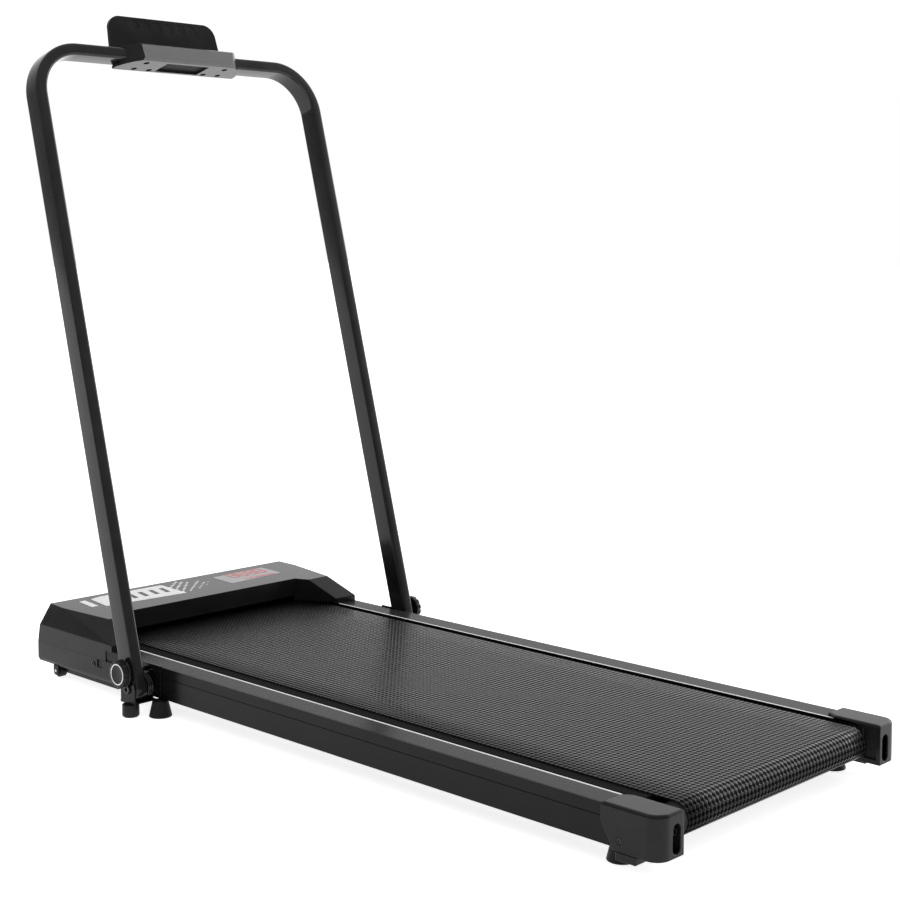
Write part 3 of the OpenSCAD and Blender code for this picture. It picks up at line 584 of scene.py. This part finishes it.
def make_hood_graphics():
    """A plain slanted block and bar with fading rows of dots, with no lettering; outlines in mm."""
    small_bar = [(-211.4, 562.2), (-198.1, 563), (-194.6, 608.3), (-206.8, 607)]
    block = [(-189, 553), (-33, 541.5), (-34, 580), (-33, 612), (-40, 615.5), (-160, 615.5), (-183, 609)]
    marks = [small_bar, block]
    # Each row of dots: its first and last dot and the dots' size
    dot_rows = (
        ((-31, 591), (-2, 616), 6.0), ((-33, 572), (5, 609), 5.6), ((-33, 553), (12, 601), 5.2),
        ((-18, 551), (32, 597), 4.6), ((4.5, 555), (35, 583), 4.0), ((30, 568), (43, 582), 3.2),
    )
    dot_pitch, dot_slant = 9, 0.8
    for (x0, y0), (x1, y1), size in dot_rows:
        count = max(2, round(math.hypot(x1 - x0, y1 - y0) / dot_pitch))
        for k in range(count):
            share = k / (count - 1)
            x, y = x0 + (x1 - x0) * share, y0 + (y1 - y0) * share
            marks.append(bar(x - size / 2, y - size / 2, y + size / 2, size, dot_slant))
    hood_print("hood_marks", marks, "print", 0.02 * MM)
    stripe_pitch, stripe_width, stripe_slant = 22, 9, 5
    stripes = [bar(-146 + i * stripe_pitch, 566, 597, stripe_width, stripe_slant) for i in range(5)]
    hood_print("hood_stripes", stripes, "trim", 0.18 * MM, 0.05 * MM)


make_hood_graphics()


def segment(x0, y0, x1, y1, half):
    """One lit bar of a digit, pointed at both ends."""
    start, end = Vector((x0, y0)), Vector((x1, y1))
    tip = (end - start).normalized() * half
    side = Vector((-tip.y, tip.x))
    points = (start, start + tip - side, end - tip - side, end, end - tip + side, start + tip + side)
    return [tuple(point) for point in points]


def make_digits():
    """Four plain eights with a row of small bars below them, in mm on the hood's top."""
    tall, wide, half, gap = 14.0, 14.5, 1.5, 0.6
    foot = 577
    shapes = []
    for x in (98, 118, 140, 160):
        for y in (foot, foot + tall, foot + 2 * tall):
            shapes.append(segment(x + gap, y, x + wide - gap, y, half))
        for post_x in (x, x + wide):
            for y in (foot, foot + tall):
                shapes.append(segment(post_x, y + gap, post_x, y + tall - gap, half))
    bar_pitch, bar_width = 8.6, 6.8
    for i in range(8):
        shapes.append(bar(108 + i * bar_pitch, 555, 561, bar_width, 0.8))
    hood_print("display_digits", shapes, "red", 0.32 * MM, 0.1 * MM)


make_digits()


# ---------------------------------------------------------------- end caps
def cap_edges(a, b):
    """Full rounding round the caps' tops, little elsewhere and least near the inner walls' rear edges."""
    if min(a.z, b.z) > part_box("end_caps")[1].z - 0.5 * MM:
        return 1.0
    near_middle = max(abs(a.x), abs(b.x)) < 245 * MM
    at_rear = max(a.y, b.y) < -HALF_L + 6 * MM
    if near_middle and at_rear and abs(a.z - b.z) < 40 * MM:
        return 0.22
    return 0.25


soften("cap_shells", "end_caps", "shell", "frame", 4.6 * MM, 5, cap_edges, sharp=30,
       clamp=False)


def make_cap_shade_boxes():
    """Dark boxes inside the caps, behind the openings in their inner walls: painted shade in the hollow
    caps.
    """
    inner, outer = 223.6 * MM, 224 * MM
    rear, front = -HALF_L + 5 * MM, -HALF_L + 27 * MM
    foot, top = 28 * MM, 72 * MM
    bm = bmesh.new()
    add_box(bm, (-outer, rear, foot), (-inner, front, top))
    add_box(bm, (inner, rear, foot), (outer, front, top))
    # The boxes are painted shade behind the caps' openings.
    finish_piece("cap_painted_shade", bm, "painted_shade", "frame")


make_cap_shade_boxes()


# ---------------------------------------------------------------- feet and wheels
def turned_feet(name, cad, radius, profile):
    """A pair of turned feet that stand for a CAD node; radius is their widest."""
    low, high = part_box(cad)
    bm = bmesh.new()
    for side in (-1, 1):
        centre = Vector((side * (high.x - radius), (low.y + high.y) / 2, 0))
        lathe(bm, centre, ALONG_Z, profile, steps=56)
    finish_piece(name, bm, "rubber", "frame", (cad,), smooth=30)


def cone_feet(name, cad, top, flare):
    """Rubber cones with a shallow ring in the sole; top and flare are radii."""
    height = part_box(cad)[1].z
    profile = [(0, 0), (0, 12 * MM), (1 * MM, 12.5 * MM), (1 * MM, 14 * MM), (0, 14.5 * MM)]
    profile += [(0, flare - 1.2 * MM), (0.35 * MM, flare - 0.35 * MM), (1.2 * MM, flare)]
    profile += [(height - 1 * MM, top), (height, top - 1 * MM), (height, 0)]
    turned_feet(name, cad, flare, profile)


def hinge_feet():
    """Rubber cylinders under the hinges, on their plates."""
    height, radius = 19.4 * MM, 13.2 * MM
    profile = [(0, 0), (0, 9 * MM), (1 * MM, 9.6 * MM), (0.2 * MM, 10.4 * MM), (0, 11 * MM)]
    profile += [(1.6 * MM, 12.7 * MM), (3 * MM, radius)]
    profile += [(height - 0.8 * MM, 13 * MM), (height, 12.2 * MM), (height, 0)]
    turned_feet("hinge_feet", "cylinder_feet", radius, profile)


cone_feet("rear_cone_feet", "rear_feet", 12.7 * MM, 18.2 * MM)
cone_feet("front_cone_feet", "cone_feet", 12.3 * MM, 17.6 * MM)
hinge_feet()


def make_wheel(body):
    """A transport wheel with a recessed web round its hub."""
    low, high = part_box(body)
    half, radius = (high.x - low.x) / 2, (high.z - low.z) / 2
    bm = bmesh.new()
    profile = [(-half, 2.6 * MM), (-half, 4.5 * MM), (-half + 1 * MM, 5.2 * MM)]
    profile += [(-half + 1 * MM, 7.6 * MM), (-half + 0.2 * MM, 8.4 * MM)]
    profile += [(-half + 0.2 * MM, radius - 1.2 * MM), (-half + 1.2 * MM, radius)]
    lathe(bm, (low + high) / 2, ALONG_X, mirrored_profile(profile), steps=48)
    finish_piece(body + "_tyre", bm, "rubber", body, (body,), smooth=30)


make_wheel("left_wheel")
make_wheel("right_wheel")
soften("wheel_forks", "wheel_brackets", "plate", "frame", 0.6 * MM, 2)


# ---------------------------------------------------------------- hinges
soften("hinge_plates", "hinge_brackets", "plate", "frame", 0.7 * MM, 2, sharp=35)


def make_springs():
    """Torsion springs round the pivots, three turns each, with a straight leg at each end."""
    wire, coil = 1.8 * MM, 17 * MM
    turns, steps, wire_steps = 3, 28, 12
    total = turns * steps
    x0, x1 = RAIL_X + 5.1 * MM, POST_X - 12.3 * MM
    leg_y = PIVOT.y + coil + 1 * MM
    section = []
    for k in range(wire_steps):
        angle = TAU * k / wire_steps
        section.append((wire * math.cos(angle), wire * math.sin(angle)))
    bm = bmesh.new()
    for side in (-1, 1):
        points = [Vector((side * x0, leg_y, PIVOT.z + 15 * MM))]
        for i in range(total + 1):
            angle = -TAU * i / steps
            x = side * (x0 + (x1 - x0) * i / total)
            points.append(Vector((x, PIVOT.y + coil * math.cos(angle), PIVOT.z + coil * math.sin(angle))))
        points.append(Vector((side * x1, leg_y, PIVOT.z - 14 * MM)))
        path = []
        for i, point in enumerate(points):
            way = (points[min(i + 1, len(points) - 1)] - points[max(i - 1, 0)]).normalized()
            across = way.cross(Vector((1, 0.02, 0.03))).normalized()
            path.append((point, across, way.cross(across).normalized()))
        sweep(bm, path, section)
    finish_piece("pivot_springs", bm, "spring", "frame", ("hinge_springs",), smooth=40)


make_springs()


def disc(bm, origin, axis, start, end, radius, steps):
    """A plain cylinder from start to end along an axis."""
    lathe(bm, origin, axis, [(start, 0), (start, radius), (end, radius), (end, 0)], steps)


def make_pivot_bolts():
    """The pivot bolts' heads, their shanks and the sleeves inside the springs."""
    bm = bmesh.new()
    head_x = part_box("pivot_bolts")[1].x
    for side in (-1, 1):
        axis = ALONG_X * side
        rail = PIVOT + axis * RAIL_X
        socket_screw(bm, PIVOT + axis * head_x, axis, 7.5 * MM, 2.8 * MM, 3.6 * MM)
        disc(bm, rail, axis, 0, head_x - RAIL_X - 2 * MM, 4 * MM, steps=32)
        disc(bm, rail, axis, 3 * MM, 17.4 * MM, 9 * MM, steps=40)
    finish_piece("pivot_bolt_heads", bm, "bolt", "frame", ("pivot_bolts",), smooth=30)


def make_side_screws(name, cad, radius, height, socket):
    """Socket screws in the machine's two sides."""
    bm = bmesh.new()
    low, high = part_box(cad)
    middle = (low + high) / 2
    for side in (-1, 1):
        face = Vector((side * high.x, middle.y, middle.z))
        socket_screw(bm, face, ALONG_X * side, radius, height, socket)
    finish_piece(name, bm, "bolt", "frame", (cad,), smooth=30)


def make_tension_bolts():
    """The belt tension bolts inside the caps' slots, with their shanks."""
    bm = bmesh.new()
    low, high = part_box("tension_bolts")
    head_r, head_t = 5.5 * MM, 6 * MM
    for side in (-1, 1):
        face = Vector((side * (high.x - head_r), low.y, (low.z + high.z) / 2))
        socket_screw(bm, face, (0, -1, 0), head_r, head_t, 2.6 * MM, 3 * MM)
        disc(bm, face, (0, 1, 0), 5.9 * MM, high.y - low.y, 3 * MM, steps=24)
    finish_piece("tension_bolt_heads", bm, "bolt", "frame", ("tension_bolts",), smooth=30)


make_pivot_bolts()
make_side_screws("pan_screw_heads", "pan_screws", 4.6 * MM, 2.3 * MM, 2 * MM)
make_side_screws("cap_screw_heads", "end_cap_screws", 4 * MM, 1.3 * MM, 1.8 * MM)
make_tension_bolts()


# ---------------------------------------------------------------- handle tube
def make_handle():
    """The bent tube from pivot to pivot, with a rounded eye at each foot."""
    straight = HANDLE_S - BEND_R
    post_steps, bend_steps = 4, 22
    path = [(POST_X, straight * i / post_steps, 0.0) for i in range(post_steps + 1)]
    for i in range(1, bend_steps + 1):
        angle = math.pi / 2 * i / bend_steps
        x = POST_X - BEND_R + BEND_R * math.cos(angle)
        path.append((x, straight + BEND_R * math.sin(angle), angle))
    path += [(-x, s, math.pi - angle) for x, s, angle in reversed(path)]
    frames = []
    for x, s, angle in path:
        outward = ALONG_X * math.cos(angle) + UP * math.sin(angle)
        frames.append((PIVOT + UP * s + ALONG_X * x, outward, FORWARD))
    bm = bmesh.new()
    sweep(bm, frames, rounded_section(TUBE_W, TUBE_D, TUBE_CORNER, 8))
    half, foot, edge = TUBE_W / 2, TUBE_D / 2, 1.2 * MM
    nick = 0.35 * edge
    profile = [(-half, 0), (-half, foot - edge), (-half + nick, foot - nick), (-half + edge, foot)]
    for side in (-1, 1):
        lathe(bm, PIVOT + ALONG_X * side * POST_X, ALONG_X, mirrored_profile(profile), steps=56)
    finish_piece("handle_frame", bm, "tube", "handle", ("handle_tube",), smooth=35)


make_handle()


# ---------------------------------------------------------------- knobs
def lobed(angle):
    """The knob's grip: flat lands with round scallops between them."""
    dip = max(0.0, math.cos(12 * angle))
    return 1 - 0.075 * dip ** 2


def reach_along_x(cad):
    """How far from the middle a part of one side starts and ends."""
    low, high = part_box(cad)
    return sorted((abs(low.x), abs(high.x)))


def make_knob_grip(word, side):
    """The turning knob: a lobed rim and a face with a groove for the light ring."""
    knob = word + "_knob"
    inner, outer = reach_along_x(knob)
    low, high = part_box(knob)
    radius, thick = (high.z - low.z) / 2, outer - inner
    face = thick - 0.1 * MM
    profile = [(0, 0), (0, radius * 0.97), (0.4 * MM, radius, lobed), (thick - 1.6 * MM, radius, lobed)]
    profile += [(thick - 0.7 * MM, radius * 0.975, lobed), (thick - 0.3 * MM, radius * 0.93, lobed)]
    profile += [(face, radius * 0.86), (face, RING_OUTER + 0.4 * MM)]
    profile += [(thick - 0.5 * MM, RING_OUTER + 0.25 * MM), (thick - 0.5 * MM, RING_INNER - 0.4 * MM)]
    profile += [(face, RING_INNER - 0.6 * MM), (thick - 0.4 * MM, 12 * MM)]
    profile += [(thick - 0.9 * MM, 6 * MM), (thick - 1 * MM, 0)]
    origin = Vector((side * inner, KNOB.y, KNOB.z))
    bm = bmesh.new()
    lathe(bm, origin, ALONG_X * side, profile, steps=144)
    finish_piece(knob + "_grip", bm, "trim", knob, (knob,), smooth=30)


def make_knob_ring(word, side):
    """The light ring in the knob's face."""
    knob = word + "_knob"
    inner, outer = reach_along_x(knob)
    thick = outer - inner
    edge = 0.1 * MM
    profile = [(thick - 0.6 * MM, RING_INNER), (thick - edge, RING_INNER), (thick, RING_INNER + 2 * edge)]
    profile += [(thick, RING_OUTER - 2 * edge), (thick - edge, RING_OUTER), (thick - 0.6 * MM, RING_OUTER)]
    bm = bmesh.new()
    lathe(bm, Vector((side * inner, KNOB.y, KNOB.z)), ALONG_X * side, profile, steps=96)
    finish_piece(knob + "_ring", bm, "white", knob, smooth=30)


def make_lock_screw(word, side):
    """The locking screw: a pin with a rounded tip, a thicker shank and a collar under the knob."""
    cad = word + "_lock_screw"
    tip = reach_along_x(cad)[0]
    knob_inner = reach_along_x(word + "_knob")[0]
    pin_r, shank_r, collar_r = 3 * MM, 5.9 * MM, 22 * MM
    shank, collar, end = POST_X + 10.3 * MM, knob_inner - 3 * MM, knob_inner - 0.3 * MM
    profile = [(tip, 0), (tip, pin_r - 0.6 * MM), (tip + 0.6 * MM, pin_r), (shank, pin_r)]
    profile += [(shank, shank_r), (collar, shank_r), (collar, collar_r - 1 * MM)]
    profile += [(collar + 0.5 * MM, collar_r), (end - 0.5 * MM, collar_r)]
    profile += [(end, collar_r - 0.6 * MM), (end, 0)]
    bm = bmesh.new()
    lathe(bm, Vector((0, KNOB.y, KNOB.z)), ALONG_X * side, profile, steps=72)
    finish_piece(word + "_lock_collar", bm, "bolt", word + "_lock", (cad,), smooth=30)


for side_sign, side_word in ((-1, "left"), (1, "right")):
    make_knob_grip(side_word, side_sign)
    make_knob_ring(side_word, side_sign)
    make_lock_screw(side_word, side_sign)


# ---------------------------------------------------------------- console
def light_faces(piece):
    """Gives a console part its lighter front and underside, and painted shade on the floor of the recess
    under it.
    """
    for look in ("face", "under", "painted_shade"):
        piece.data.materials.append(M[look])
    shell, face, under, painted_shade = range(4)
    faces_down, faces_rider = 0.9, 0.94
    under_level, face_level = -16.5 * MM, -34 * MM
    for polygon in piece.data.polygons:
        from_bar = polygon.center - BAR
        if -polygon.normal.dot(UP) > faces_down:
            outside = from_bar.dot(UP) < under_level
            # Down-facing faces inside the recess get the painted shade.
            polygon.material_index = under if outside else painted_shade
        elif -polygon.normal.dot(FORWARD) > faces_rider:
            outside = from_bar.dot(FORWARD) < face_level
            polygon.material_index = face if outside else shell


shell = soften("housing_shell", "console_housing", "console", "handle", 2.0 * MM, 4)
base = soften("housing_base", "console_base", "console", "handle", 0.6 * MM, 2, sharp=30)
light_faces(shell)
light_faces(base)
soften("panel_shell", "key_panel", "trim", "handle", 0.7 * MM, 3, sharp=30)


def make_key(number):
    """A round key, very slightly dished inside its rim."""
    cad = f"key_{number}"
    low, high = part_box(cad)
    radius, dish = 9 * MM, 0.12 * MM
    below, above = 2 * MM, 1 * MM
    profile = [(0, 0), (0, radius * 0.86), (-dish, radius * 0.9), (-dish, radius * 0.95)]
    profile += [(0.1 * MM, radius), (below, radius), (below, 0)]
    bm = bmesh.new()
    lathe(bm, (low + high) / 2 - FORWARD * above, FORWARD, profile, steps=48)
    finish_piece(f"key_cap_{number}", bm, "trim", cad, (cad,), smooth=10)


for key_number in range(1, 7):
    make_key(key_number)


def make_console_screws():
    """Six small screws at the bottom of the recesses in the console's underside."""
    depth = 15.4 * MM
    pairs = ((82 * MM, -24.5 * MM), (88 * MM, 4.5 * MM), (57 * MM, 5.5 * MM))
    bm = bmesh.new()
    for x, forward in pairs:
        for side in (-1, 1):
            face = BAR + ALONG_X * side * x + FORWARD * forward - UP * depth
            socket_screw(bm, face, -UP, 3.2 * MM, 1.5 * MM, 1.4 * MM)
    finish_piece("console_screw_heads", bm, "bolt", "handle", ("console_screws",), smooth=30)


make_console_screws()


# ---------------------------------------------------------------- looks of the carried-over nodes
LOOKS = {
    "crossmembers": "plate", "deck_board": "wood", "deck_cushions": "rubber", "front_axle": "steel",
    "rear_axle": "steel", "front_roller": "steel", "rear_roller": "steel", "front_bearings": "alloy",
    "rear_bearings": "alloy", "roller_pulley": "alloy", "motor_casing": "plate", "motor_rotor": "steel",
    "motor_pulley": "alloy", "drive_belt": "rubber", "motor_bracket": "plate", "control_board": "board",
    "heatsink": "alloy", "display_board": "board", "power_inlet": "trim", "power_rocker": "red_plastic",
    "reset_button": "red_plastic", "wheel_axles": "steel", "post_bushes": "alloy", "key_board": "board",
}
for cad_name, look_name in LOOKS.items():
    mesh = NODES[cad_name].data
    mesh.materials.clear()
    mesh.materials.append(M[look_name])


# ---------------------------------------------------------------- floor, light and camera
def make_stage():
    """A wide pale floor, bright enough to run into the white behind it, just below the feet."""
    bm = bmesh.new()
    bmesh.ops.create_grid(bm, x_segments=2, y_segments=2, size=30)
    mesh = bpy.data.meshes.new("floor")
    bm.to_mesh(mesh)
    bm.free()
    floor = bpy.data.objects.new("floor", mesh)
    floor.location.z = -0.2 * MM
    bpy.context.scene.collection.objects.link(floor)
    material, _, shader = principled("pale_floor")
    shader.inputs["Base Color"].default_value = (0.93, 0.93, 0.93, 1)
    shader.inputs["Roughness"].default_value = 0.9
    shader.inputs["Specular IOR Level"].default_value = 0.1
    shader.inputs["Emission Color"].default_value = (1, 1, 1, 1)
    shader.inputs["Emission Strength"].default_value = 0.82
    mesh.materials.append(material)


def world_lobe(tree, direction, strength, sharpness=1.0):
    """Light that grows toward one direction of the sky."""
    coord = tree.nodes.new("ShaderNodeTexCoord")
    dot = tree.nodes.new("ShaderNodeVectorMath")
    dot.operation = "DOT_PRODUCT"
    tree.links.new(coord.outputs["Generated"], dot.inputs[0])
    dot.inputs[1].default_value = Vector(direction).normalized()
    ahead = math_node(tree, "MAXIMUM", dot.outputs["Value"], 0.0)
    return math_node(tree, "MULTIPLY", math_node(tree, "POWER", ahead, sharpness), strength)


def make_sky():
    """A dim white room, brighter above and beyond the machine, with a softbox on the right."""
    world = bpy.data.worlds.new("studio")
    bpy.context.scene.world = world
    world.use_nodes = True
    tree = world.node_tree
    background = tree.nodes["Background"]
    background.inputs["Color"].default_value = (1, 1, 1, 1)
    all_round = 0.14
    beyond = world_lobe(tree, (0.7, 0.7, 0.1), 0.85)
    above = world_lobe(tree, ALONG_Z, 0.6)
    softbox = world_lobe(tree, (0.95, -0.3, 0.2), 5.0, 24.0)
    sky = math_node(tree, "ADD", math_node(tree, "ADD", beyond, above), all_round)
    sky = math_node(tree, "ADD", sky, softbox)
    path = tree.nodes.new("ShaderNodeLightPath")
    seen = math_node(tree, "MAXIMUM", sky, path.outputs["Is Camera Ray"])
    tree.links.new(seen, background.inputs["Strength"])


def make_key_light():
    """A weak, very soft sun from the right, which leaves light shadows under the left rail."""
    shines = Vector((-0.85, -0.12, -0.50))
    data = bpy.data.lights.new("key", "SUN")
    data.angle = math.radians(34)
    data.energy = 0.45
    key = bpy.data.objects.new("key", data)
    key.rotation_euler = shines.to_track_quat("-Z", "Y").to_euler()
    bpy.context.scene.collection.objects.link(key)


def make_camera():
    """A long lens behind the machine's left rear corner, a little above the handle's middle height."""
    dip, heading = math.radians(4.22), math.radians(-45.865)
    data = bpy.data.cameras.new("camera")
    data.lens = 66.04
    data.sensor_width = 36
    data.shift_y = -0.1056
    data.clip_end = 100
    camera = bpy.data.objects.new("camera", data)
    camera.location = (-1.734, -1.7414, 0.7353)
    camera.rotation_euler = (math.pi / 2 - dip, 0, heading)
    bpy.context.scene.collection.objects.link(camera)
    bpy.context.scene.camera = camera


make_stage()
make_sky()
make_key_light()
make_camera()
bpy.context.scene.view_settings.view_transform = "Standard"
